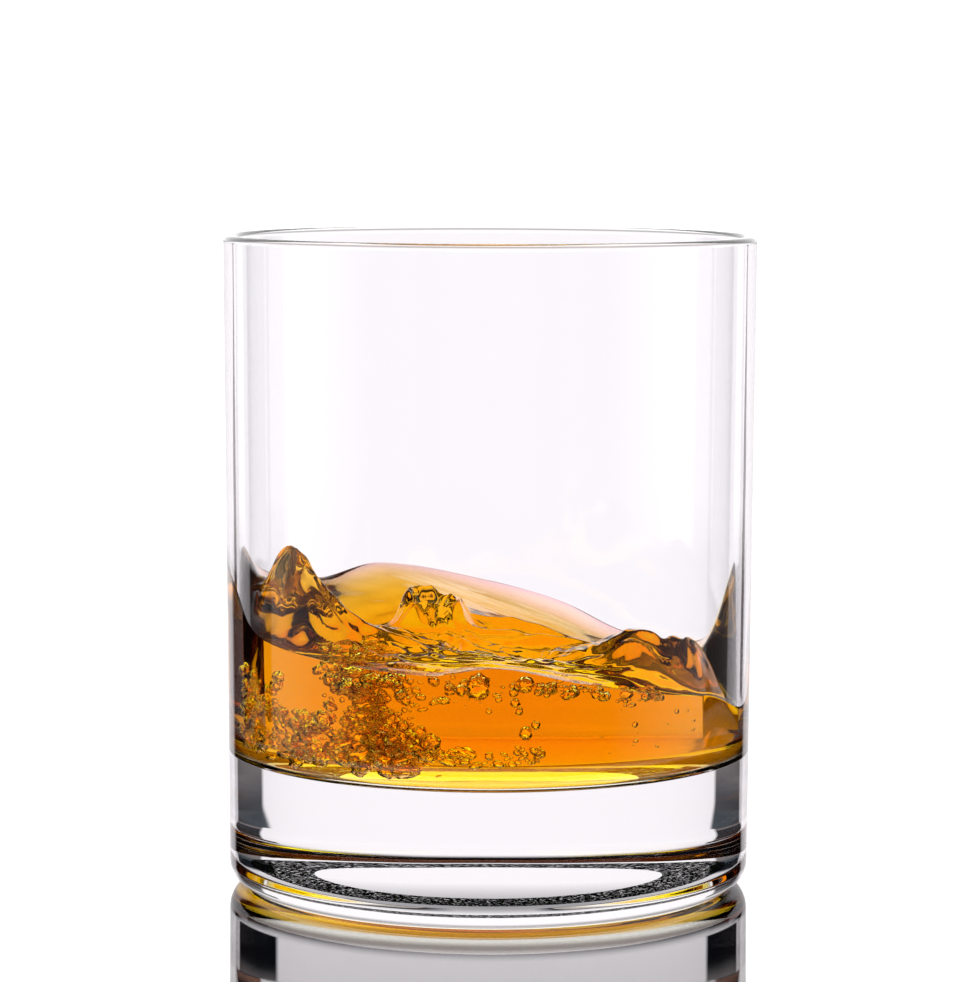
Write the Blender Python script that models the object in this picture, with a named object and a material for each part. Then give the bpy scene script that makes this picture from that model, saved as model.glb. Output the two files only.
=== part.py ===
"""Heavy-based rocks tumbler holding a pour of neat whisky that is still swirling.

Metres, +Z up. The origin is the middle of the ring that the glass stands on.
The glass is one turned solid. The whisky is one solid from the floor of the bowl
up to its waves: a splash on the left, a ring of liquid thrown up where it was
poured, a swell at the front right, and liquid climbing the wall on both sides.
-X is the left of the glass, and -Y is its front.
"""
import math

import bmesh
import bpy

MM = 0.001

# Glass
GLASS_HEIGHT = 103.0 * MM
RIM_RADIUS = 42.0 * MM
FOOT_RADIUS = 41.2 * MM
WALL_AT_RIM = 2.0 * MM
WALL_AT_FLOOR = 1.9 * MM
RIM_ROUND_HEIGHT = 1.5 * MM
FLOOR_HEIGHT = 21.0 * MM
FLOOR_FILLET = 4.2 * MM
HEEL_ROUND = 3.9 * MM
RING_INNER_RADIUS = 29.5 * MM
RECESS_SLOPE_WIDTH = 1.2 * MM
RECESS_EDGE_DEPTH = 1.9 * MM
RECESS_DEPTH = 2.7 * MM
GLASS_SEGMENTS = 72

# Whisky
GAP = 0.3 * MM
WHISKY_LEVEL = 40.5
LEVEL_POWER = 1.3
WHISKY_SEGMENTS = 96
SURFACE_RINGS = 26

# How far the wall holds the surface at its waterline, in mm: at the front and the
# back, and how much farther at the two sides, where the whisky climbs.
CLIMB_REACH = 2.3
SIDE_REACH = 1.6
SIDE_POWER = 14

# Azimuth from the front towards +X in degrees, then the height of the waterline
# and of the level just off the wall in mm.
WATERLINE = (
    (-91, 53.6, 43.6),
    (-86, 53.2, 43.4),
    (-79, 50.5, 42.6),
    (-72, 47.6, 42.2),
    (-65, 43.2, 41.8),
    (-57, 41.4, 41.4),
    (-32, 39.6, 39.8),
    (-12, 38.8, 39.0),
    (2, 40.0, 39.4),
    (20, 37.4, 37.6),
    (35, 35.4, 35.8),
    (55, 33.3, 34.0),
    (80, 30.8, 33.5),
    (86, 44.0, 33.8),
    (91, 51.2, 34.0),
    (104, 43.0, 34.4),
    (114, 37.0, 34.8),
    (130, 35.2, 34.4),
    (146, 35.9, 33.6),
    (162, 40.0, 37.4),
    (180, 43.2, 41.6),
    (208, 46.8, 46.6),
    (226, 45.2, 45.0),
    (250, 48.0, 44.4),
)

# The wave across the front: x, rise above the level and half width in mm. It
# starts with the splash on the left and ends with the swell on the right.
CREST_Y = -16.0
CREST_POWER = 1.7
CREST = (
    (-38, 8.0, 4.0),
    (-35, 10.0, 4.4),
    (-31, 14.9, 4.6),
    (-28.5, 12.9, 4.8),
    (-26, 8.3, 5.0),
    (-21.5, 4.0, 5.5),
    (-17, 2.6, 6.0),
    (-10, 0.8, 6.5),
    (0, -1.5, 6.5),
    (5.5, -2.0, 6.0),
    (11, 0.4, 6.5),
    (17, 3.2, 8.0),
    (21, 5.6, 9.0),
    (29.5, 6.4, 9.0),
    (33.6, 6.8, 8.0),
    (36, 4.0, 7.5),
    (39, 0.0, 7.0),
)

# Single waves: middle x and y, height, half length, half width, turn of the long
# side from +X, in mm and degrees.
WAVES = (
    ("strand to the wall", -35.0, -7.0, 6.5, 3.2, 7.0, 0),
    ("left hollow", -24.0, 4.0, -3.2, 9.0, 7.0, 20),
    ("ridge behind", 4.0, 2.0, 1.8, 9.0, 2.2, -24),
    ("low ridge", 9.0, -6.0, 1.2, 8.0, 1.8, -10),
    ("far hollow", 12.0, 20.0, -1.0, 14.0, 7.0, -10),
    ("right hollow", 27.0, 11.0, -2.6, 11.0, 10.0, 0),
    ("first lobe", 22.5, -22.0, 1.3, 3.0, 2.2, 20),
    ("second lobe", 31.0, -19.5, 1.2, 3.5, 2.0, -30),
    ("splash foot", -29.0, -24.0, 1.8, 3.0, 2.0, 30),
    ("splash tail", -22.0, -27.0, 1.4, 4.0, 1.8, -20),
)

# Liquid thrown up round the place where it was poured, in mm
COLLAR_X = -8.8
COLLAR_Y = 0.0
COLLAR_RADIUS = 4.3
COLLAR_WIDTH = 1.7
COLLAR_HEIGHT = 5.8
CRATER_DEPTH = 2.0


def clear_objects():
    for item in list(bpy.data.objects):
        bpy.data.objects.remove(item, do_unlink=True)


def make_material(name, colour, roughness, transmission, ior):
    material = bpy.data.materials.new(name)
    material.use_nodes = True
    shader = material.node_tree.nodes["Principled BSDF"]
    shader.inputs["Base Color"].default_value = (*colour, 1.0)
    shader.inputs["Roughness"].default_value = roughness
    shader.inputs["Metallic"].default_value = 0.0
    shader.inputs["Transmission Weight"].default_value = transmission
    shader.inputs["IOR"].default_value = ior
    return material


def arc(centre_r, centre_z, half_width, half_height, start, end, steps):
    """Points on an arc in the turning plane, with angles in degrees from +R."""
    points = []
    for step in range(steps + 1):
        angle = math.radians(start + (end - start) * step / steps)
        points.append((
            centre_r + half_width * math.cos(angle),
            centre_z + half_height * math.sin(angle),
        ))
    return points


def outer_radius(height):
    return FOOT_RADIUS + (RIM_RADIUS - FOOT_RADIUS) * height / GLASS_HEIGHT


def inner_radius(height):
    share = (height - FLOOR_HEIGHT) / (GLASS_HEIGHT - FLOOR_HEIGHT)
    wall = WALL_AT_FLOOR + (WALL_AT_RIM - WALL_AT_FLOOR) * share
    return outer_radius(height) - wall


def glass_profile():
    """Half section, from the middle of the underside out, up and back to the axis."""
    recess_radius = RING_INNER_RADIUS - RECESS_SLOPE_WIDTH
    profile = []
    dome_steps = 5
    for step in range(dome_steps + 1):
        radius = recess_radius * step / dome_steps
        dome = (RECESS_DEPTH - RECESS_EDGE_DEPTH) * (1 - (radius / recess_radius) ** 2)
        profile.append((radius, RECESS_EDGE_DEPTH + dome))
    profile.append((RING_INNER_RADIUS, 0.0))
    heel_radius = outer_radius(HEEL_ROUND)
    profile += arc(heel_radius - HEEL_ROUND, HEEL_ROUND, HEEL_ROUND, HEEL_ROUND, -90, 0, 6)
    rim_base = GLASS_HEIGHT - RIM_ROUND_HEIGHT
    rim_middle = (outer_radius(rim_base) + inner_radius(rim_base)) / 2
    rim_half = (outer_radius(rim_base) - inner_radius(rim_base)) / 2
    profile += arc(rim_middle, rim_base, rim_half, RIM_ROUND_HEIGHT, 0, 180, 8)
    fillet_top = FLOOR_HEIGHT + FLOOR_FILLET
    fillet_middle = inner_radius(fillet_top) - FLOOR_FILLET
    profile += arc(fillet_middle, fillet_top, FLOOR_FILLET, FLOOR_FILLET, 0, -90, 5)
    profile.append((0.0, FLOOR_HEIGHT))
    return profile


def turn(name, profile, segments, material):
    """A closed solid turned from a half section whose ends lie on the axis."""
    shape = bmesh.new()
    corners = [shape.verts.new((radius, 0.0, height)) for radius, height in profile]
    edges = [shape.edges.new(pair) for pair in zip(corners, corners[1:])]
    bmesh.ops.spin(
        shape, geom=corners + edges, cent=(0, 0, 0), axis=(0, 0, 1),
        angle=math.tau, steps=segments, use_merge=True,
    )
    bmesh.ops.remove_doubles(shape, verts=shape.verts, dist=0.01 * MM)
    bmesh.ops.recalc_face_normals(shape, faces=shape.faces)
    mesh = bpy.data.meshes.new(name)
    shape.to_mesh(mesh)
    shape.free()
    mesh.materials.append(material)
    mesh.shade_smooth()
    mesh.set_sharp_from_angle(angle=math.radians(50))
    solid = bpy.data.objects.new(name, mesh)
    bpy.context.collection.objects.link(solid)
    return solid


def smooth_through(points, value, column):
    """Height of a smooth curve through points sorted by their first number."""
    if value <= points[0][0]:
        return points[0][column]
    if value >= points[-1][0]:
        return points[-1][column]
    index = max(i for i, point in enumerate(points) if point[0] <= value)
    before = points[max(index - 1, 0)]
    here = points[index]
    there = points[index + 1]
    after = points[min(index + 2, len(points) - 1)]
    width = there[0] - here[0]
    slope_here = (there[column] - before[column]) / (there[0] - before[0])
    slope_there = (after[column] - here[column]) / (after[0] - here[0])
    t = (value - here[0]) / width
    height = here[column] + t * t * (3 - 2 * t) * (there[column] - here[column])
    height += t * (1 - t) ** 2 * slope_here * width
    return height + t * t * (t - 1) * slope_there * width


def around_wall(azimuth, column):
    """A column of WATERLINE at an azimuth in degrees, joined up all round."""
    first = WATERLINE[0]
    closed = WATERLINE + ((first[0] + 360, *first[1:]),)
    return smooth_through(closed, first[0] + (azimuth - first[0]) % 360, column)


def wave(x, y, middle_x, middle_y, height, length, width, turn_degrees):
    """One long, low wave as a bell with a long and a short half width."""
    turned = math.radians(turn_degrees)
    dx = x - middle_x
    dy = y - middle_y
    along = (dx * math.cos(turned) + dy * math.sin(turned)) / length
    across = (dy * math.cos(turned) - dx * math.sin(turned)) / width
    return height * math.exp(-(along ** 2 + across ** 2))


def crest(x, y):
    """The wave across the front, with its splash and its swell."""
    rise = smooth_through(CREST, x, 1)
    width = smooth_through(CREST, x, 2)
    return rise * math.exp(-(abs((y - CREST_Y) / width) ** CREST_POWER))


def collar(x, y):
    """The raised ring and its crater where the whisky was poured."""
    distance = math.hypot(x - COLLAR_X, y - COLLAR_Y)
    ring = COLLAR_HEIGHT * math.exp(-(((distance - COLLAR_RADIUS) / COLLAR_WIDTH) ** 2))
    crater = CRATER_DEPTH * math.exp(-((distance / COLLAR_RADIUS) ** 4))
    return ring - crater


def surface_height(x, y, wall_radius):
    """Height of the whisky at x and y, all in mm."""
    azimuth = math.degrees(math.atan2(x, -y))
    distance = min(math.hypot(x, y), wall_radius)
    share = (distance / wall_radius) ** LEVEL_POWER
    height = WHISKY_LEVEL + (around_wall(azimuth, 2) - WHISKY_LEVEL) * share
    height += crest(x, y) + collar(x, y)
    for _, *shape in WAVES:
        height += wave(x, y, *shape)
    sideways = abs(math.sin(math.radians(azimuth)))
    reach = CLIMB_REACH + SIDE_REACH * sideways ** SIDE_POWER
    hold = math.exp(-(((wall_radius - distance) / reach) ** 1.5))
    return height + (around_wall(azimuth, 1) - height) * hold


def whisky_profile():
    """Half section of the level pour, from the middle of its surface out and down."""
    level = WHISKY_LEVEL * MM
    wall_radius = inner_radius(level) - GAP
    profile = [
        (wall_radius * ring / SURFACE_RINGS, level) for ring in range(SURFACE_RINGS + 1)
    ]
    fillet_top = FLOOR_HEIGHT + FLOOR_FILLET
    fillet_middle = inner_radius(fillet_top) - FLOOR_FILLET
    profile += arc(fillet_middle, fillet_top, FLOOR_FILLET - GAP, FLOOR_FILLET - GAP, 0, -90, 3)
    profile.append((0.0, FLOOR_HEIGHT + GAP))
    return profile


def raise_waves(solid):
    """Moves the flat surface of the level pour to the height of its waves."""
    level = WHISKY_LEVEL * MM
    wall_radius = inner_radius(level) - GAP
    for vertex in solid.data.vertices:
        x, y, z = vertex.co
        if z < level - GAP:
            continue
        height = surface_height(x / MM, y / MM, wall_radius / MM) * MM
        spread = (inner_radius(height) - GAP) / wall_radius
        vertex.co = (x * spread, y * spread, height)


def build():
    clear_objects()
    clear_glass = make_material("clear_glass", (0.97, 0.97, 0.98), 0.02, 1.0, 1.5)
    amber = make_material("amber_whisky", (0.86, 0.34, 0.02), 0.02, 0.8, 1.36)
    turn("glass", glass_profile(), GLASS_SEGMENTS, clear_glass)
    raise_waves(turn("whisky", whisky_profile(), WHISKY_SEGMENTS, amber))


build()
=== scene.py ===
import math
import random

import bmesh
import bpy
from mathutils import Matrix, Vector, noise


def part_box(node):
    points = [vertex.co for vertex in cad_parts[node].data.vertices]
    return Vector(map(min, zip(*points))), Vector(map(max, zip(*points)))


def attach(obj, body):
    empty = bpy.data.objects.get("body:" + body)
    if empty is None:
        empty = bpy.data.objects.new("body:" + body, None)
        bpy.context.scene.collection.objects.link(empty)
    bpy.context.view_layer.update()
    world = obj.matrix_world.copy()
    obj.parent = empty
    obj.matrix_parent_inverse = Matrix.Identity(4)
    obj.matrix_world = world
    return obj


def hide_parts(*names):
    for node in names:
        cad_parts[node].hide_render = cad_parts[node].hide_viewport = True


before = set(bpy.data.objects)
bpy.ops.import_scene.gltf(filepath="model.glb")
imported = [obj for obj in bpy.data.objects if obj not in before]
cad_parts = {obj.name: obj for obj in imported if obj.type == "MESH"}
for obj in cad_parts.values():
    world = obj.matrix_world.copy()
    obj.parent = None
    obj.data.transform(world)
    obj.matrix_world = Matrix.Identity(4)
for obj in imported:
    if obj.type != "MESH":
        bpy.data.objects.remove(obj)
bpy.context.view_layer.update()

mm = 0.001
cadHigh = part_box("glass")[1]


# Helpers for meshes

def deselectAll():
    bpy.ops.object.select_all(action="DESELECT")


def makeActive(piece):
    deselectAll()
    piece.select_set(True)
    bpy.context.view_layer.objects.active = piece


def takeNewPiece(name):
    # names the piece that an operator has just added
    piece = bpy.context.active_object
    piece.name = name
    piece.data.name = name
    return piece


def placeInMesh(piece):
    # the object ends at the origin, unturned, with its place in its mesh
    makeActive(piece)
    bpy.ops.object.transform_apply(location=True, rotation=True, scale=True)


def editMesh(piece):
    # opens the piece in edit mode with nothing selected
    makeActive(piece)
    bpy.ops.object.mode_set(mode="EDIT")
    bpy.ops.mesh.select_all(action="DESELECT")


def selectFaces(piece, rule):
    bpy.ops.mesh.select_mode(type="FACE")
    bpy.ops.mesh.select_all(action="DESELECT")
    shape = bmesh.from_edit_mesh(piece.data)
    for face in shape.faces:
        if rule(face.calc_center_median(), face.normal):
            face.select_set(True)
    bmesh.update_edit_mesh(piece.data)


def selectEdges(piece, rule):
    bpy.ops.mesh.select_mode(type="EDGE")
    bpy.ops.mesh.select_all(action="DESELECT")
    shape = bmesh.from_edit_mesh(piece.data)
    for edge in shape.edges:
        if rule(edge.verts[0].co, edge.verts[1].co):
            edge.select_set(True)
    bmesh.update_edit_mesh(piece.data)


def facesUp(centre, normal):
    return normal.z > 0.9


def facesDown(centre, normal):
    return normal.z < -0.9


def smooth(piece, degrees=180):
    makeActive(piece)
    bpy.ops.object.shade_smooth_by_angle(angle=math.radians(degrees))


# Helpers for materials

def newMaterial(name):
    material = bpy.data.materials.new(name)
    material.use_nodes = True
    nodes = material.node_tree.nodes
    nodes.clear()
    return material, nodes, material.node_tree.links


def mathNode(nodes, links, operation, first, second=None):
    node = nodes.new("ShaderNodeMath")
    node.operation = operation
    for socket, value in zip(node.inputs, (first, second)):
        if value is None:
            continue
        if isinstance(value, (int, float)):
            socket.default_value = value
        else:
            links.new(value, socket)
    return node.outputs[0]


def ramp(nodes, links, value, low, high, atLow=0.0, atHigh=1.0):
    # goes from atLow to atHigh while value goes from low to high
    node = nodes.new("ShaderNodeMapRange")
    settings = (("From Min", low), ("From Max", high), ("To Min", atLow), ("To Max", atHigh))
    for socket, setting in settings:
        if isinstance(setting, (int, float)):
            node.inputs[socket].default_value = setting
        else:
            links.new(setting, node.inputs[socket])
    links.new(value, node.inputs["Value"])
    return node.outputs[0]


def mixColours(nodes, links, factor, first, second):
    node = nodes.new("ShaderNodeMix")
    node.data_type = "RGBA"
    sockets = [i for i in node.inputs if i.type == "RGBA"]
    links.new(factor, node.inputs["Factor"])
    for socket, colour in zip(sockets, (first, second)):
        if isinstance(colour, tuple):
            socket.default_value = (*colour, 1)
        else:
            links.new(colour, socket)
    return [o for o in node.outputs if o.type == "RGBA"][0]


def noiseOnPiece(nodes, links, scale, detail):
    place = nodes.new("ShaderNodeTexCoord")
    pattern = nodes.new("ShaderNodeTexNoise")
    pattern.inputs["Scale"].default_value = scale
    pattern.inputs["Detail"].default_value = detail
    links.new(place.outputs["Object"], pattern.inputs["Vector"])
    return pattern.outputs["Fac"]


def addRipple(nodes, links, shader, ripple):
    # the finest unevenness, too fine for the mesh
    bump = nodes.new("ShaderNodeBump")
    bump.inputs["Strength"].default_value = ripple["strength"]
    bump.inputs["Distance"].default_value = ripple["distance"]
    links.new(noiseOnPiece(nodes, links, ripple["scale"], ripple["detail"]), bump.inputs["Height"])
    links.new(bump.outputs["Normal"], shader.inputs["Normal"])


def finishPiece(piece, materials, node):
    for material in materials:
        piece.data.materials.append(material)
    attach(piece, "root")
    if node:
        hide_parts(node)


# The tumbler

tumbler = {
    "segments": 384,
    "height": cadHigh.z,
    "rimRadius": cadHigh.x,
    "footRadius": 41.2 * mm,
    "wallAtRim": 2.0 * mm,
    "wallAtFloor": 1.9 * mm,
    "floorHeight": 21.0 * mm,
    "floorRound": 4.2 * mm,
    "floorSteps": 10,
    "heelRound": 3.9 * mm,
    "heelSteps": 14,
    "rimRound": 0.97 * mm,
    "rimSteps": 6,
    # the ring it stands on, the slope inside it and the domed recess
    "ringInner": 29.5 * mm,
    "ringInsets": 14,
    "recessSlope": 1.2 * mm,
    "recessEdge": 1.9 * mm,
    "recessDepth": 2.7 * mm,
    "recessPower": 2,
    "recessInsets": 16,
    # heights of the edges that hold the walls straight, and how close they come to the rounds
    "wallEdges": (10 * mm, 16 * mm, 40 * mm, 60 * mm, 80 * mm),
    "besideRound": 0.3 * mm,
    # stipple on the ring and on a band in the recess, its grains painted dark: a painted
    # reflection of the dark surroundings
    "recessStipple": (18.3 * mm, 24.2 * mm),
    "stippleHeight": 0.01 * mm,
    "grainScale": 2400,
    "grainDetail": 2,
    "grainShare": (0.54, 0.68),
    # painted reflection: the dark colour the grains show in place of the dark the clear stipple
    # reflects
    "grainPaintedDark": (0.012, 0.034, 0.052),
    # faint waviness of pressed glass outside the solid base
    "pressedWave": 0.03 * mm,
    "pressedWaveScale": 90,
    "pressedWaveInner": 38 * mm,
    "pressedWaveTop": 2 * mm,
    "tintAndPaintedGlint": (0.99, 0.985, 0.995),
    "refraction": 1.5,
    "ripple": {"scale": 60, "detail": 1, "strength": 0.02, "distance": 0.4 * mm},
    "seed": 11,
}


def outerRadius(height):
    share = height / tumbler["height"]
    return tumbler["footRadius"] + (tumbler["rimRadius"] - tumbler["footRadius"]) * share


def innerRadius(height):
    share = (height - tumbler["floorHeight"]) / (tumbler["height"] - tumbler["floorHeight"])
    wall = tumbler["wallAtFloor"] + (tumbler["wallAtRim"] - tumbler["wallAtFloor"]) * share
    return outerRadius(height) - wall


def makeTumbler():
    t = tumbler
    tiny = 0.05 * mm
    foot, rim = t["footRadius"], t["rimRadius"]
    deselectAll()
    bpy.ops.mesh.primitive_cylinder_add(
        vertices=t["segments"], radius=foot, depth=t["height"],
        location=(0, 0, t["height"] / 2))
    piece = takeNewPiece("tumblerGlass")
    placeInMesh(piece)
    editMesh(piece)
    # flare the side and open the bowl from the top face
    selectFaces(piece, facesUp)
    grow = rim / foot
    bpy.ops.transform.resize(value=(grow, grow, 1), center_override=(0, 0, t["height"]))
    bpy.ops.mesh.inset(thickness=t["wallAtRim"])
    bpy.ops.mesh.extrude_region_move(
        TRANSFORM_OT_translate={"value": (0, 0, t["floorHeight"] - t["height"])})
    shrink = innerRadius(t["floorHeight"]) / (rim - t["wallAtRim"])
    bpy.ops.transform.resize(
        value=(shrink, shrink, 1), center_override=(0, 0, t["floorHeight"]))

    def ringAt(radius, height):
        def rule(a, b):
            return all(
                abs(v.z - height) < tiny and abs(math.hypot(v.x, v.y) - radius) < tiny
                for v in (a, b))
        return rule

    # round the heel, the floor of the bowl and both edges of the rim
    for ring, width, steps in (
            (ringAt(foot, 0), t["heelRound"], t["heelSteps"]),
            (ringAt(innerRadius(t["floorHeight"]), t["floorHeight"]),
             t["floorRound"], t["floorSteps"]),
            (ringAt(rim, t["height"]), t["rimRound"], t["rimSteps"]),
            (ringAt(rim - t["wallAtRim"], t["height"]), t["rimRound"], t["rimSteps"])):
        selectEdges(piece, ring)
        bpy.ops.mesh.bevel(offset=width, segments=steps)
    # the ring it stands on, then the recess inside it
    selectFaces(piece, lambda c, n: facesDown(c, n) and math.hypot(c.x, c.y) < tiny)
    ringOuter = foot - t["heelRound"]
    for _ in range(t["ringInsets"]):
        bpy.ops.mesh.inset(thickness=(ringOuter - t["ringInner"]) / t["ringInsets"])
    bpy.ops.mesh.inset(thickness=t["recessSlope"], depth=-t["recessEdge"])
    radius = t["ringInner"] - t["recessSlope"]
    stepWidth = radius / (t["recessInsets"] + 1)
    power = t["recessPower"]
    for step in range(t["recessInsets"]):
        outside = 1 - step * stepWidth / radius
        inside = outside - stepWidth / radius
        rise = (t["recessDepth"] - t["recessEdge"]) * (outside ** power - inside ** power)
        bpy.ops.mesh.inset(thickness=stepWidth, depth=-rise)
    # edges that hold the straight walls straight beside the rounds
    beside = (t["heelRound"] + t["besideRound"],
              t["floorHeight"] + t["floorRound"] + t["besideRound"],
              t["height"] - t["rimRound"] - t["besideRound"])
    for height in sorted((*t["wallEdges"], *beside)):
        bpy.ops.mesh.select_all(action="SELECT")
        bpy.ops.mesh.bisect(plane_co=(0, 0, height), plane_no=(0, 0, 1))
    bpy.ops.mesh.select_all(action="SELECT")
    bpy.ops.mesh.normals_make_consistent(inside=False)
    bpy.ops.object.mode_set(mode="OBJECT")
    # stipple on the standing ring, and the faint waviness of pressed glass
    chance = random.Random(t["seed"])
    waveTop = t["floorHeight"] + t["pressedWaveTop"]
    for vertex in piece.data.vertices:
        x, y, z = vertex.co
        radius = math.hypot(x, y)
        if z < tiny / 2 and t["ringInner"] - tiny < radius < ringOuter + tiny:
            vertex.co.z = chance.random() * t["stippleHeight"]
        elif z < waveTop and radius > t["pressedWaveInner"]:
            wave = noise.noise(Vector((x, y, z)) * t["pressedWaveScale"]) * t["pressedWave"]
            vertex.co.x += x / radius * wave
            vertex.co.y += y / radius * wave
    smooth(piece, 60)
    # the second material goes on the standing ring and on a band in the recess
    bandInner, bandOuter = t["recessStipple"]
    for face in piece.data.polygons:
        radius = math.hypot(face.center.x, face.center.y)
        ring = face.center.z < t["stippleHeight"] and radius > t["ringInner"]
        band = face.center.z < t["recessDepth"] and bandInner < radius < bandOuter
        face.material_index = 1 if (ring or band) and face.normal.z < -0.8 else 0
    return piece


def glassMaterial():
    material, nodes, links = newMaterial("clearGlass")
    output = nodes.new("ShaderNodeOutputMaterial")
    shader = nodes.new("ShaderNodeBsdfPrincipled")
    shader.inputs["Base Color"].default_value = (*tumbler["tintAndPaintedGlint"], 1)
    shader.inputs["Roughness"].default_value = 0.0
    shader.inputs["IOR"].default_value = tumbler["refraction"]
    shader.inputs["Transmission Weight"].default_value = 1.0
    addRipple(nodes, links, shader, tumbler["ripple"])
    links.new(shader.outputs["BSDF"], output.inputs["Surface"])
    return material


def stippleAndPaintedDarkMaterial():
    # fine grains of painted dark reflection, an opaque dark sheet, between grains of clear glass
    material, nodes, links = newMaterial("stippledGlassPaintedDark")
    output = nodes.new("ShaderNodeOutputMaterial")
    clear = nodes.new("ShaderNodeBsdfGlass")
    clear.inputs["Roughness"].default_value = 0.0
    clear.inputs["IOR"].default_value = tumbler["refraction"]
    # painted reflection: a dark diffuse surface in place of the dark the clear stipple reflects
    dark = nodes.new("ShaderNodeBsdfDiffuse")
    dark.inputs["Color"].default_value = (*tumbler["grainPaintedDark"], 1)
    grain = noiseOnPiece(nodes, links, tumbler["grainScale"], tumbler["grainDetail"])
    choose = nodes.new("ShaderNodeMixShader")
    links.new(ramp(nodes, links, grain, *tumbler["grainShare"]), choose.inputs["Fac"])
    links.new(dark.outputs["BSDF"], choose.inputs[1])
    links.new(clear.outputs["BSDF"], choose.inputs[2])
    links.new(choose.outputs[0], output.inputs["Surface"])
    return material


# The whisky, with heights and lengths of its surface in mm

whisky = {
    "segments": 440,
    "rings": 110,
    "intoWall": 0.15 * mm,
    "level": 40.5,
    "levelPower": 1.3,
    # how far the wall holds the surface at its waterline: front and back, more at the sides
    "climbReach": 2.3,
    "climbPower": 1.5,
    "sideReach": 1.6,
    "sidePower": 14,
    # azimuth from the front towards +X in degrees, waterline, and level just off the wall
    "waterline": (
        (-91, 53.6, 43.6), (-86, 53.2, 43.4), (-79, 50.5, 42.6), (-72, 47.6, 42.2),
        (-65, 43.2, 41.8), (-57, 41.4, 41.4), (-32, 39.6, 39.8), (-12, 38.8, 39.0),
        (2, 40.0, 39.4), (20, 37.4, 37.6), (35, 35.4, 35.8), (55, 33.3, 34.0),
        (80, 30.8, 33.5), (86, 44.0, 33.8), (91, 51.2, 34.0), (104, 43.0, 34.4),
        (114, 37.0, 34.8), (130, 35.2, 34.4), (146, 35.9, 33.6), (162, 40.0, 37.4),
        (180, 43.2, 41.6), (208, 46.8, 46.6), (226, 45.2, 45.0), (250, 48.0, 44.4),
    ),
    # the wave across the front: x, rise above the level, half width
    "crestY": -16.0,
    "crestPower": 1.7,
    "crest": (
        (-38, 8.0, 4.0), (-35, 10.0, 4.4), (-31, 14.9, 4.6), (-28.5, 12.9, 4.8),
        (-26, 8.3, 5.0), (-21.5, 4.0, 5.5), (-17, 2.6, 6.0), (-10, 0.8, 6.5),
        (0, -1.5, 6.5), (5.5, -2.0, 6.0), (11, 0.4, 6.5), (17, 3.2, 8.0),
        (21, 5.6, 9.0), (29.5, 6.4, 9.0), (33.6, 6.8, 8.0), (36, 4.0, 7.5), (39, 0.0, 7.0),
    ),
    # single waves: middle x and y, height, half length, half width, turn in degrees
    "waves": (
        (-35.0, -7.0, 6.5, 3.2, 7.0, 0),
        (-24.0, 4.0, -3.2, 9.0, 7.0, 20),
        (4.0, 2.0, 1.8, 9.0, 2.2, -24),
        (9.0, -6.0, 1.2, 8.0, 1.8, -10),
        (12.0, 20.0, -1.0, 14.0, 7.0, -10),
        (27.0, 11.0, -2.6, 11.0, 10.0, 0),
        (26.8, -15.0, -0.9, 5.0, 0.8, 80),
        (22.5, -22.0, 1.3, 3.0, 2.2, 20),
        (31.0, -19.5, 1.2, 3.5, 2.0, -30),
        (-29.0, -24.0, 1.8, 3.0, 2.0, 30),
        (-22.0, -27.0, 1.4, 4.0, 1.8, -20),
    ),
    # the raised ring round a crater, with rings of ripples outside it
    "collar": {"x": -8.8, "y": 0.0, "radius": 3.8, "width": 2.2, "height": 5.2, "lean": 0.22,
               "crater": 1.8, "ripple": 0.1, "rippleLength": 5.2, "rippleReach": 15.0},
    # torn parts: middle x and y, reach in x and y, height and size of the lumps
    "torn": (
        (-27.0, -19.0, 8.5, 7.5, 1.7, 4.4), (28.0, -19.0, 9.0, 7.0, 1.0, 4.6),
        (2.0, -16.0, 16.0, 7.0, 0.5, 4.0), (-8.8, 0.0, 6.0, 5.0, 1.3, 2.9),
    ),
    "tornShape": {"bendSize": 6.0, "squash": 0.7, "lift": 0.7, "cut": 2.8},
    # streaks along the wave, which bend at one x, then chop and a fine grain
    "streak": {"height": 0.95, "length": 13.0, "width": 2.5,
               "bendAt": 2, "bendLeft": 0.32, "bendRight": 0.1},
    "chop": {"height": 0.45, "size": 4.6, "lift": 0.6, "cut": 2},
    "fine": {"height": 0.07, "size": 1.6},
    # rough behind and beside the collar and along the front, calm at the left and far right
    "rough": {"y": -9, "reach": (21, 13), "frontY": -22, "frontReach": 12, "frontRight": 30,
              "front": 0.75, "calm": (-19, 6, 9, 9), "calming": 0.9, "least": 0.06},
    "seed": 5.0,
    # what each noise adds to the seed
    "layers": {"streak": 0, "chop": 7, "fine": 19, "torn": 31, "bend": 43},
    "refraction": 1.36,
    "absorption": (0.995, 0.905, 0.05),
    "density": 172,
    "ripple": {"scale": 140, "detail": 2, "strength": 0.05, "distance": 0.5 * mm},
}


def smoothThrough(points, value, column=1):
    # a smooth curve through a few points that are sorted by their first number
    last = len(points) - 1
    if value <= points[0][0]:
        return points[0][column]
    for i in range(last):
        if value <= points[i + 1][0]:
            break
    else:
        return points[last][column]
    before, after = points[max(i - 1, 0)], points[min(i + 2, last)]
    here, there = points[i], points[i + 1]
    width = there[0] - here[0]
    slopeHere = (there[column] - before[column]) / (there[0] - before[0])
    slopeThere = (after[column] - here[column]) / (after[0] - here[0])
    t = (value - here[0]) / width
    rise = there[column] - here[column]
    return (here[column] + t * t * (3 - 2 * t) * rise
            + t * (1 - t) ** 2 * slopeHere * width + t * t * (t - 1) * slopeThere * width)


def hill(x, y, middleX, middleY, reachX, reachY):
    # 1 in the middle, falling to 0 all round
    return math.exp(-(((x - middleX) / reachX) ** 2 + ((y - middleY) / reachY) ** 2))


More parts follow.
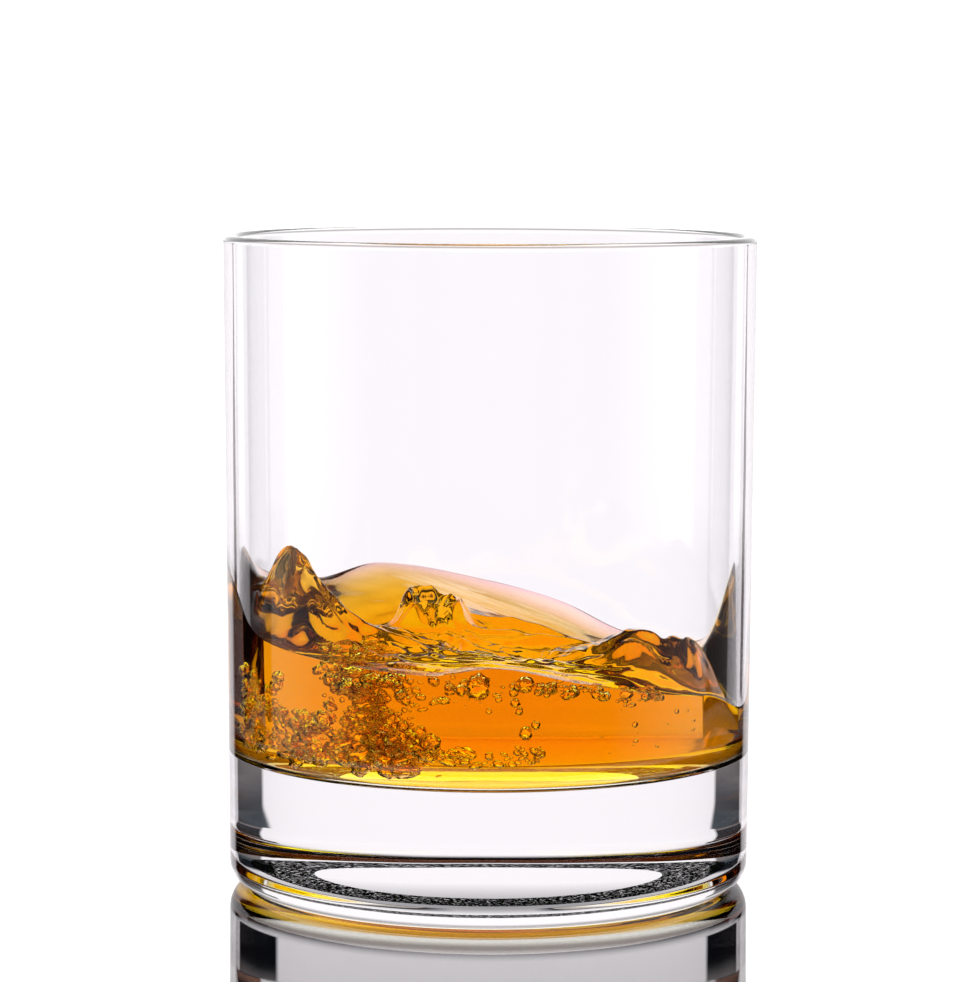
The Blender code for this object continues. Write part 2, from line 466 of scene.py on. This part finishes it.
def waveHeight(x, y, middleX, middleY, height, length, width, turn):
    turned = math.radians(turn)
    dx, dy = x - middleX, y - middleY
    along = dx * math.cos(turned) + dy * math.sin(turned)
    across = dy * math.cos(turned) - dx * math.sin(turned)
    return height * hill(along, across, 0, 0, length, width)


def whiskyNoise(x, y, layer):
    return noise.noise(Vector((x, y, whisky["seed"] + whisky["layers"][layer])))


def aroundWall(azimuth, column):
    points = whisky["waterline"]
    first = points[0][0]
    closed = points + ((first + 360, *points[0][1:]),)
    return smoothThrough(closed, first + (azimuth - first) % 360, column)


def roughness(x, y):
    r = whisky["rough"]
    byCollar = hill(x, y, whisky["collar"]["x"], r["y"], *r["reach"])
    front = math.exp(-(((y - r["frontY"]) / r["frontReach"]) ** 2))
    if x >= 0:
        front *= math.exp(-((x / r["frontRight"]) ** 2))
    stirred = min(1.0, byCollar + r["front"] * front)
    return max(r["least"], stirred - r["calming"] * hill(x, y, *r["calm"]))


def collarHeight(x, y):
    c = whisky["collar"]
    distance = math.hypot(x - c["x"], y - c["y"])
    # it leans to the left and away
    lean = 1 + c["lean"] * (c["x"] - x + y - c["y"]) / (distance + c["width"])
    height = c["height"] * lean * math.exp(-(((distance - c["radius"]) / c["width"]) ** 2))
    height -= c["crater"] * math.exp(-((distance / c["radius"]) ** 4))
    outside = max(distance - c["radius"] - c["width"], 0)
    ripple = c["ripple"] * math.sin(outside / c["rippleLength"] * math.tau)
    return height + ripple * math.exp(-((outside / c["rippleReach"]) ** 2))


def roughHeight(x, y):
    streak, chop, fine = whisky["streak"], whisky["chop"], whisky["fine"]
    if x < streak["bendAt"]:
        bent = y + streak["bendLeft"] * x
    else:
        bent = (y - streak["bendRight"] * x
                + (streak["bendLeft"] + streak["bendRight"]) * streak["bendAt"])
    height = streak["height"] * whiskyNoise(x / streak["length"], bent / streak["width"], "streak")
    lumps = abs(whiskyNoise(x / chop["size"], y / chop["size"], "chop"))
    height += chop["height"] * (chop["lift"] - chop["cut"] * lumps)
    height += fine["height"] * whiskyNoise(x / fine["size"], y / fine["size"], "fine")
    return height * roughness(x, y)


def tornHeight(x, y):
    shape = whisky["tornShape"]
    bend = whiskyNoise(x / shape["bendSize"], y / shape["bendSize"], "bend")
    height = 0
    for middleX, middleY, reachX, reachY, lump, size in whisky["torn"]:
        ridges = abs(whiskyNoise(x / size + bend, shape["squash"] * y / size - bend, "torn"))
        near = hill(x, y, middleX, middleY, reachX, reachY)
        height += lump * near * (shape["lift"] - shape["cut"] * ridges)
    return height


def surfaceHeight(x, y, wallRadius):
    w = whisky
    azimuth = math.degrees(math.atan2(x, -y))
    fromAxis = math.hypot(x, y)
    share = min(fromAxis / wallRadius, 1) ** w["levelPower"]
    height = w["level"] + (aroundWall(azimuth, 2) - w["level"]) * share
    rise, width = smoothThrough(w["crest"], x), smoothThrough(w["crest"], x, 2)
    height += rise * math.exp(-abs((y - w["crestY"]) / width) ** w["crestPower"])
    for shape in w["waves"]:
        height += waveHeight(x, y, *shape)
    height += collarHeight(x, y) + roughHeight(x, y) + tornHeight(x, y)
    # the wall holds the edge at its waterline
    side = abs(math.sin(math.radians(azimuth))) ** w["sidePower"]
    reach = w["climbReach"] + w["sideReach"] * side
    hold = math.exp(-((max(wallRadius - fromAxis, 0.0) / reach) ** w["climbPower"]))
    return height + (aroundWall(azimuth, 1) - height) * hold


def makeWhisky():
    w = whisky
    floor = tumbler["floorHeight"] - w["intoWall"]
    level = w["level"] * mm
    radius = innerRadius(level) + w["intoWall"]
    deselectAll()
    bpy.ops.mesh.primitive_cylinder_add(
        vertices=w["segments"], radius=radius, depth=level - floor,
        location=(0, 0, (level + floor) / 2))
    piece = takeNewPiece("whiskyPour")
    placeInMesh(piece)
    editMesh(piece)
    # narrow the foot as the bowl narrows, and round it as the floor is rounded
    selectFaces(piece, facesDown)
    shrink = (innerRadius(floor) + w["intoWall"]) / radius
    bpy.ops.transform.resize(value=(shrink, shrink, 1), center_override=(0, 0, floor))
    bpy.ops.mesh.region_to_loop()
    bpy.ops.mesh.bevel(offset=tumbler["floorRound"], segments=tumbler["floorSteps"])
    # divide the top into fine rings
    selectFaces(piece, facesUp)
    for _ in range(w["rings"] - 1):
        bpy.ops.mesh.inset(thickness=radius / w["rings"])
    bpy.ops.mesh.poke()
    bpy.ops.object.mode_set(mode="OBJECT")
    # raise the level surface to the waves
    for vertex in piece.data.vertices:
        x, y, z = vertex.co
        if z > level - 0.2 * mm:
            height = surfaceHeight(x / mm, y / mm, radius / mm) * mm
            spread = (innerRadius(height) + w["intoWall"]) / radius
            vertex.co = (x * spread, y * spread, height)
    smooth(piece, 60)
    return piece


def whiskyMaterial():
    material, nodes, links = newMaterial("amberWhisky")
    output = nodes.new("ShaderNodeOutputMaterial")
    shader = nodes.new("ShaderNodeBsdfPrincipled")
    shader.inputs["Base Color"].default_value = (1, 1, 1, 1)
    shader.inputs["Roughness"].default_value = 0.0
    shader.inputs["IOR"].default_value = whisky["refraction"]
    shader.inputs["Transmission Weight"].default_value = 1.0
    depth = nodes.new("ShaderNodeVolumeAbsorption")
    depth.inputs["Color"].default_value = (*whisky["absorption"], 1)
    depth.inputs["Density"].default_value = whisky["density"]
    addRipple(nodes, links, shader, whisky["ripple"])
    links.new(shader.outputs["BSDF"], output.inputs["Surface"])
    links.new(depth.outputs["Volume"], output.inputs["Volume"])
    return material


# Air bubbles sunk in the whisky, measured in mm

bubbles = {
    "seed": 23,
    "airInWhisky": 0.735,
    # painted highlight: the air is given a golden colour, so light it mirrors shows as golden
    # glints and light through it as darker orange
    "tintAndPaintedGlint": (1.0, 0.91, 0.56),
    "ripple": {"scale": 900, "detail": 1, "strength": 0.2, "distance": 0.3 * mm},
    # how many are made in one mesh before all are joined
    "cluster": 30,
    # ranges of width, depth and height, as shares of the radius
    "massStretch": ((0.8, 1.7), (0.7, 1.2), (0.5, 1.0)),
    "singleStretch": ((0.9, 1.1), (0.8, 1.0), (0.85, 1.05)),
    "tilt": 0.5,
    "smallShare": 2.2,
    # those above one radius are lumpy, and those above another have a finer mesh
    "lumps": 0.16,
    "lumpyAbove": 0.3,
    "fineAbove": 0.7,
    # they stay clear of the wall, the floor and the surface
    "room": 1.15,
    "fromWall": 0.25,
    "fromSurface": 0.2,
    "lowest": 21.3,
    # stirred-up masses: azimuth range, distance from the wall, height range, number,
    # smallest and largest radius
    "masses": (
        ((-74, -44), (1.3, 6.0), (22.8, 31.0), 120, 0.25, 1.5),
        ((-74, -56), (1.3, 5.0), (30.0, 36.0), 44, 0.25, 1.2),
        ((-48, -12), (1.5, 8.0), (23.0, 30.5), 150, 0.28, 1.8),
        ((-40, -16), (1.5, 8.0), (30.5, 37.5), 110, 0.25, 1.6),
        ((-74, -10), (1.3, 4.0), (23.0, 31.0), 110, 0.12, 0.35),
        ((-14, 6), (1.6, 9.0), (24.5, 27.0), 30, 0.2, 1.1),
        ((-46, -33), (5.0, 13.0), (36.0, 46.0), 50, 0.3, 1.5),
        ((-40, -4), (1.4, 8.0), (34.0, 38.5), 60, 0.2, 1.1),
        ((-4, 20), (1.4, 8.0), (34.5, 38.0), 24, 0.15, 0.6),
        ((10, 27), (1.3, 3.0), (36.0, 37.6), 24, 0.4, 1.1),
        ((31, 42), (1.3, 3.0), (33.4, 35.2), 18, 0.3, 0.9),
        ((6, 12), (1.3, 4.0), (25.5, 28.0), 18, 0.3, 1.1),
        ((20, 60), (1.4, 12.0), (26.0, 33.5), 14, 0.12, 0.35),
    ),
    # single ones: x, height, distance from the wall, radius
    "single": (
        (-1.5, 36.9, 3.4, 1.9), (-4.0, 36.4, 3.0, 0.9), (5.2, 37.3, 3.0, 1.2),
        (7.6, 36.6, 2.8, 1.0), (3.6, 36.2, 2.4, 0.75), (3.8, 34.6, 2.4, 0.75),
        (0.0, 33.4, 2.2, 0.5), (4.4, 33.4, 2.2, 0.6), (8.4, 35.8, 2.2, 0.6),
        (6.8, 31.2, 2.4, 0.7), (5.4, 30.0, 2.6, 1.0), (12.3, 35.4, 2.0, 0.4),
        (18.7, 34.2, 2.0, 0.35), (21.3, 30.4, 2.0, 0.45), (27.4, 31.6, 2.0, 0.45),
        (29.0, 31.4, 2.0, 0.25), (-16.0, 27.8, 3.0, 1.7), (-8.5, 28.4, 3.0, 1.5),
        (-24.0, 30.5, 3.0, 1.5),
    ),
}


def makeBubbles():
    b = bubbles
    chance = random.Random(b["seed"])
    wall = innerRadius(whisky["level"] * mm) / mm
    wanted = []
    for azimuths, depths, heights, number, small, large in b["masses"]:
        for _ in range(number):
            azimuth = math.radians(chance.uniform(*azimuths))
            reach = wall - chance.uniform(*depths)
            radius = small + (large - small) * chance.random() ** b["smallShare"]
            wanted.append((reach * math.sin(azimuth), -reach * math.cos(azimuth),
                           chance.uniform(*heights), radius, b["massStretch"]))
    for x, height, depth, radius in b["single"]:
        reach = wall - depth
        wanted.append((x, -math.sqrt(reach ** 2 - x ** 2), height, radius, b["singleStretch"]))
    clusters = []
    for first in range(0, len(wanted), b["cluster"]):
        clusters.append(makeCluster(wanted[first:first + b["cluster"]], wall, chance))
    makeActive(clusters[0])
    for cluster in clusters:
        cluster.select_set(True)
    bpy.ops.object.join()
    piece = takeNewPiece("airBubbles")
    smooth(piece)
    return piece


def makeCluster(wanted, wall, chance):
    b = bubbles
    cluster = None
    for x, y, height, radius, stretches in wanted:
        room = radius * stretches[1][1] * b["room"]
        reach = math.hypot(x, y)
        inside = min(reach, wall - room - b["fromWall"])
        x, y = x * inside / reach, y * inside / reach
        top = min(surfaceHeight(x + dx, y + dy, wall) for dx, dy in
                  ((0, 0), (room, 0), (-room, 0), (0, room), (0, -room)))
        z = min(max(height, b["lowest"] + room), top - room - b["fromSurface"])
        bpy.ops.mesh.primitive_ico_sphere_add(
            subdivisions=3 if radius > b["fineAbove"] else 2, radius=radius * mm,
            location=(x * mm, y * mm, z * mm),
            rotation=(0, chance.uniform(-b["tilt"], b["tilt"]), math.atan2(x, -y)),
            scale=[chance.uniform(*stretch) for stretch in stretches])
        if cluster is None:
            cluster = takeNewPiece("bubbleCluster")
            placeInMesh(cluster)
            editMesh(cluster)
        elif radius > b["lumpyAbove"]:
            bpy.ops.transform.vertex_random(
                offset=radius * b["lumps"] * mm, uniform=0.3, normal=0.6,
                seed=chance.randrange(1000))
    bpy.ops.object.mode_set(mode="OBJECT")
    return cluster


def bubbleMaterial():
    material, nodes, links = newMaterial("bubbleAir")
    output = nodes.new("ShaderNodeOutputMaterial")
    shader = nodes.new("ShaderNodeBsdfGlass")
    # painted golden glints and orange shade on air that has no colour of its own
    shader.inputs["Color"].default_value = (*bubbles["tintAndPaintedGlint"], 1)
    shader.inputs["Roughness"].default_value = 0.0
    shader.inputs["IOR"].default_value = bubbles["airInWhisky"]
    addRipple(nodes, links, shader, bubbles["ripple"])
    links.new(shader.outputs["BSDF"], output.inputs["Surface"])
    return material


# The studio table, glossy at a flat angle, with a painted white glow in place of light from above,
# painted brighter and tinted where seen through glass and whisky

table = {
    "size": 30.0,
    "mirror": (0.52, 0.52, 0.525),
    # painted reflection: the mirror is made brighter where the table is not seen straight from the
    # camera
    "mirrorThroughGlass": (1.0, 0.98, 0.99),
    "roughness": 0.02,
    "lit": (0.93, 0.93, 0.94),
    # painted light: the glow is warmer where it is seen through the glass
    "litThroughGlass": (0.97, 0.95, 0.93),
    # painted light: the glow is pinker where it is seen through both the whisky's surface and the
    # back of the glass
    "litThroughWhisky": (1.05, 0.73, 0.80),
    "whiskyCrossings": 4.5,
    # from lit to glossy: one less the cosine of the angle off upright
    "turns": (0.45, 0.65),
}


def makeTable():
    deselectAll()
    bpy.ops.mesh.primitive_plane_add(size=table["size"], location=(0, 0, 0))
    piece = takeNewPiece("paleTable")
    placeInMesh(piece)
    material, nodes, links = newMaterial("glossyTable")
    output = nodes.new("ShaderNodeOutputMaterial")
    gloss = nodes.new("ShaderNodeBsdfPrincipled")
    gloss.inputs["Metallic"].default_value = 1.0
    gloss.inputs["Roughness"].default_value = table["roughness"]
    # painted light: the table glows though it is no lamp, in colours that change with what the ray
    # has passed through
    lit = nodes.new("ShaderNodeEmission")
    ray = nodes.new("ShaderNodeLightPath")
    bare = ray.outputs["Is Camera Ray"]
    # painted reflection: a stronger mirror where the ray does not come straight from the camera
    links.new(mixColours(nodes, links, bare, table["mirrorThroughGlass"], table["mirror"]),
              gloss.inputs["Base Color"])
    deep = mathNode(nodes, links, "GREATER_THAN", ray.outputs["Transmission Depth"],
                    table["whiskyCrossings"])
    covered = mixColours(nodes, links, deep, table["litThroughGlass"], table["litThroughWhisky"])
    links.new(mixColours(nodes, links, bare, covered, table["lit"]), lit.inputs["Color"])
    facing = nodes.new("ShaderNodeLayerWeight")
    facing.inputs["Blend"].default_value = 0.5
    choose = nodes.new("ShaderNodeMixShader")
    links.new(ramp(nodes, links, facing.outputs["Facing"], *table["turns"]),
              choose.inputs["Fac"])
    links.new(lit.outputs[0], choose.inputs[1])
    links.new(gloss.outputs["BSDF"], choose.inputs[2])
    links.new(choose.outputs[0], output.inputs["Surface"])
    material.cycles.emission_sampling = "NONE"
    piece.data.materials.append(material)


# The surround: a white back, a dark front and overhead, and dark flags at both sides.
# Angles are in degrees off the back and in degrees up or down.

surround = {
    "seenByCamera": (1.0, 1.0, 1.0),
    # how many surfaces light has crossed, and how often it was mirrored, from the camera on
    "crossings": {"none": 0.5, "wall": 1.5, "base": 2.5, "body": 5.5, "bubble": 7.5},
    "mirrorings": 1.5,
    "back": (0.96, 0.945, 0.965),
    "front": (0.08, 0.03, 0.02),
    "overhead": (0.075, 0.02, 0.008),
    "turns": (75, 125),
    "overheadFrom": (13, 26),
    # higher up at the back for light that comes in through the whisky, and brighter there
    "overheadFromBody": (52, 70),
    "highBack": (1.5, 1.75, 0.8),
    "highBackFrom": (32, 38),
    # brighter and yellower through bubbles and through two waves
    "glintBack": (1.5, 1.6, 1.1),
    # the side flags: inner edge low down, higher at the left and at the right, outer edge
    "flagFrom": 47.5,
    "flagFromLeft": 45.0,
    "flagFromRight": 41.8,
    "flagLean": (10.0, 10.6),
    "flagTo": 67,
    "flagSoft": 0.8,
    "flagTop": 14.2,
    "flagTopSoft": 0.5,
    # their colours from the horizon up
    "flagTiers": (
        (7.6, (0.02, 0.008, 0.006)), (8.0, (0.40, 0.14, 0.05)), (9.4, (0.36, 0.12, 0.04)),
        (9.9, (0.09, 0.03, 0.015)), (11.1, (0.006, 0.003, 0.002)),
    ),
    # the same through the glass's solid base alone
    "baseBack": (0.885, 0.86, 0.88),
    "baseFront": (0.03, 0.045, 0.06),
    "baseOverhead": (0.004, 0.012, 0.018),
    "baseTiers": (
        (7.6, (0.04, 0.04, 0.045)), (8.0, (0.23, 0.205, 0.205)), (9.4, (0.20, 0.185, 0.185)),
        (9.9, (0.085, 0.09, 0.10)), (10.8, (0.075, 0.10, 0.115)), (11.1, (0.002, 0.006, 0.009)),
    ),
    # narrow flags that draw the wall's edge lines, wider as they rise between two heights
    "edgeHeights": (3.0, 5.5),
    "edgeFrom": (29.4, 26.6),
    "edgeTo": 30.9,
    "edgeTop": 9.0,
    "edgeShade": (0.05, 0.03, 0.03),
    # what the bare table mirrors, and where the outside of the glass mirrors dark
    "inTable": (1.46, 1.46, 1.46),
    "outsideTurns": (26, 30),
    "outsideRises": (6.4, 7.6),
    "outsideDark": (0.02, 0.008, 0.006),
}


def makeSurround():
    s = surround
    crossings = s["crossings"]
    world = bpy.data.worlds.new("studioSurround")
    bpy.context.scene.world = world
    world.use_nodes = True
    nodes, links = world.node_tree.nodes, world.node_tree.links
    nodes.clear()

    def step(operation, first, second=None):
        return mathNode(nodes, links, operation, first, second)

    def more(value, limit):
        return step("GREATER_THAN", value, limit)

    def less(value, limit):
        return step("LESS_THAN", value, limit)

    def both(first, second):
        return step("MULTIPLY", first, second)

    def fade(value, low, high, atLow=0.0, atHigh=1.0):
        return ramp(nodes, links, value, low, high, atLow, atHigh)

    def mix(factor, first, second):
        return mixColours(nodes, links, factor, first, second)

    place = nodes.new("ShaderNodeTexCoord")
    split = nodes.new("ShaderNodeSeparateXYZ")
    links.new(place.outputs["Generated"], split.inputs[0])
    x, y, z = split.outputs
    azimuth = step("DEGREES", step("ARCTAN2", step("ABSOLUTE", x), y))
    height = step("DEGREES", step("ARCSINE", step("ABSOLUTE", z)))
    upwards = more(z, 0)
    ray = nodes.new("ShaderNodeLightPath")
    crossed, mirrored = ray.outputs["Transmission Depth"], ray.outputs["Glossy Depth"]
    mirroredTwice = more(mirrored, s["mirrorings"])
    mirroredLess = less(mirrored, s["mirrorings"])
    throughBody = both(more(crossed, crossings["body"]), mirroredLess)

    # the side flags' inner edges lean inwards as they rise
    higher = fade(more(x, 0), 0, 1, s["flagFromLeft"], s["flagFromRight"])
    inner = fade(height, *s["flagLean"], s["flagFrom"], higher)
    soft = s["flagSoft"]
    flag = both(fade(step("SUBTRACT", azimuth, inner), -soft, soft),
                fade(azimuth, s["flagTo"] + soft, s["flagTo"] - soft))
    flag = both(flag, fade(height, s["flagTop"] + s["flagTopSoft"],
                           s["flagTop"] - s["flagTopSoft"]))

    turned = fade(azimuth, *s["turns"])
    steepFrom, steepTo = (
        fade(throughBody, 0, 1, plain, body)
        for plain, body in zip(s["overheadFrom"], s["overheadFromBody"]))
    steep = both(fade(height, steepFrom, steepTo), upwards)

    def roomSeen(back, front, overhead, tiers):
        shade = tiers[0][1]
        for (low, _), (high, colour) in zip(tiers, tiers[1:]):
            shade = mix(fade(height, low, high), shade, colour)
        return mix(flag, mix(steep, mix(turned, back, front), overhead), shade)

    inBase = less(crossed, crossings["base"])
    around = mix(inBase,
                 roomSeen(s["back"], s["front"], s["overhead"], s["flagTiers"]),
                 roomSeen(s["baseBack"], s["baseFront"], s["baseOverhead"], s["baseTiers"]))
    # only light that turns back inside the wall shows the narrow flags
    inWall = both(both(inBase, more(crossed, crossings["wall"])), mirroredTwice)
    edge = both(more(azimuth, fade(height, *s["edgeHeights"], *s["edgeFrom"])),
                less(azimuth, s["edgeTo"]))
    edge = both(edge, less(height, s["edgeTop"]))
    around = mix(both(inWall, edge), around, s["edgeShade"])
    around = mix(more(crossed, crossings["bubble"]), around,
                 roomSeen(s["glintBack"], s["front"], s["overhead"], s["flagTiers"]))
    highBack = both(fade(height, *s["highBackFrom"]),
                    fade(height, *reversed(s["overheadFromBody"])))
    around = mix(both(both(highBack, throughBody), upwards), around, s["highBack"])
    # mirrored by the outside of the glass, then by the bare table
    bare = less(crossed, crossings["none"])
    outside = both(fade(azimuth, *s["outsideTurns"]), fade(height, *s["outsideRises"]))
    around = mix(both(both(mirroredTwice, bare), outside), around, s["outsideDark"])
    inTable = both(both(bare, ray.outputs["Is Glossy Ray"]), mirroredLess)
    around = mix(inTable, around, s["inTable"])

    lit = nodes.new("ShaderNodeBackground")
    links.new(around, lit.inputs["Color"])
    plain = nodes.new("ShaderNodeBackground")
    plain.inputs["Color"].default_value = (*s["seenByCamera"], 1)
    choose = nodes.new("ShaderNodeMixShader")
    links.new(ray.outputs["Is Camera Ray"], choose.inputs["Fac"])
    links.new(lit.outputs[0], choose.inputs[1])
    links.new(plain.outputs[0], choose.inputs[2])
    output = nodes.new("ShaderNodeOutputWorld")
    links.new(choose.outputs[0], output.inputs["Surface"])


# The camera and how the picture is developed

picture = {
    "distance": 593.8 * mm,
    "height": 123.6 * mm,
    "lookDown": 5.885,
    "roll": 0.18,
    "lens": 138.1,
    "sensor": 36,
    "nearest": 10 * mm,
    "transform": "Standard",
    "look": "Medium High Contrast",
    "bounces": 32,
}


def makeCamera():
    p = picture
    data = bpy.data.cameras.new("photoCamera")
    camera = bpy.data.objects.new("photoCamera", data)
    bpy.context.collection.objects.link(camera)
    camera.location = (0, -p["distance"], p["height"])
    turn = Matrix.Rotation(math.radians(90 - p["lookDown"]), 3, "X")
    turn = turn @ Matrix.Rotation(math.radians(p["roll"]), 3, "Z")
    camera.rotation_euler = turn.to_euler()
    data.lens = p["lens"]
    data.sensor_width = p["sensor"]
    data.clip_start = p["nearest"]
    data.dof.use_dof = False
    scene = bpy.context.scene
    scene.camera = camera
    scene.view_settings.view_transform = p["transform"]
    scene.view_settings.look = p["look"]
    scene.cycles.max_bounces = p["bounces"]
    scene.cycles.transmission_bounces = p["bounces"]


makeTable()
makeSurround()
makeCamera()
print("studio ready")
finishPiece(makeTumbler(), (glassMaterial(), stippleAndPaintedDarkMaterial()), "glass")
print("tumbler ready")
finishPiece(makeWhisky(), (whiskyMaterial(),), "whisky")
print("whisky ready")
finishPiece(makeBubbles(), (bubbleMaterial(),), None)
print("bubbles ready")
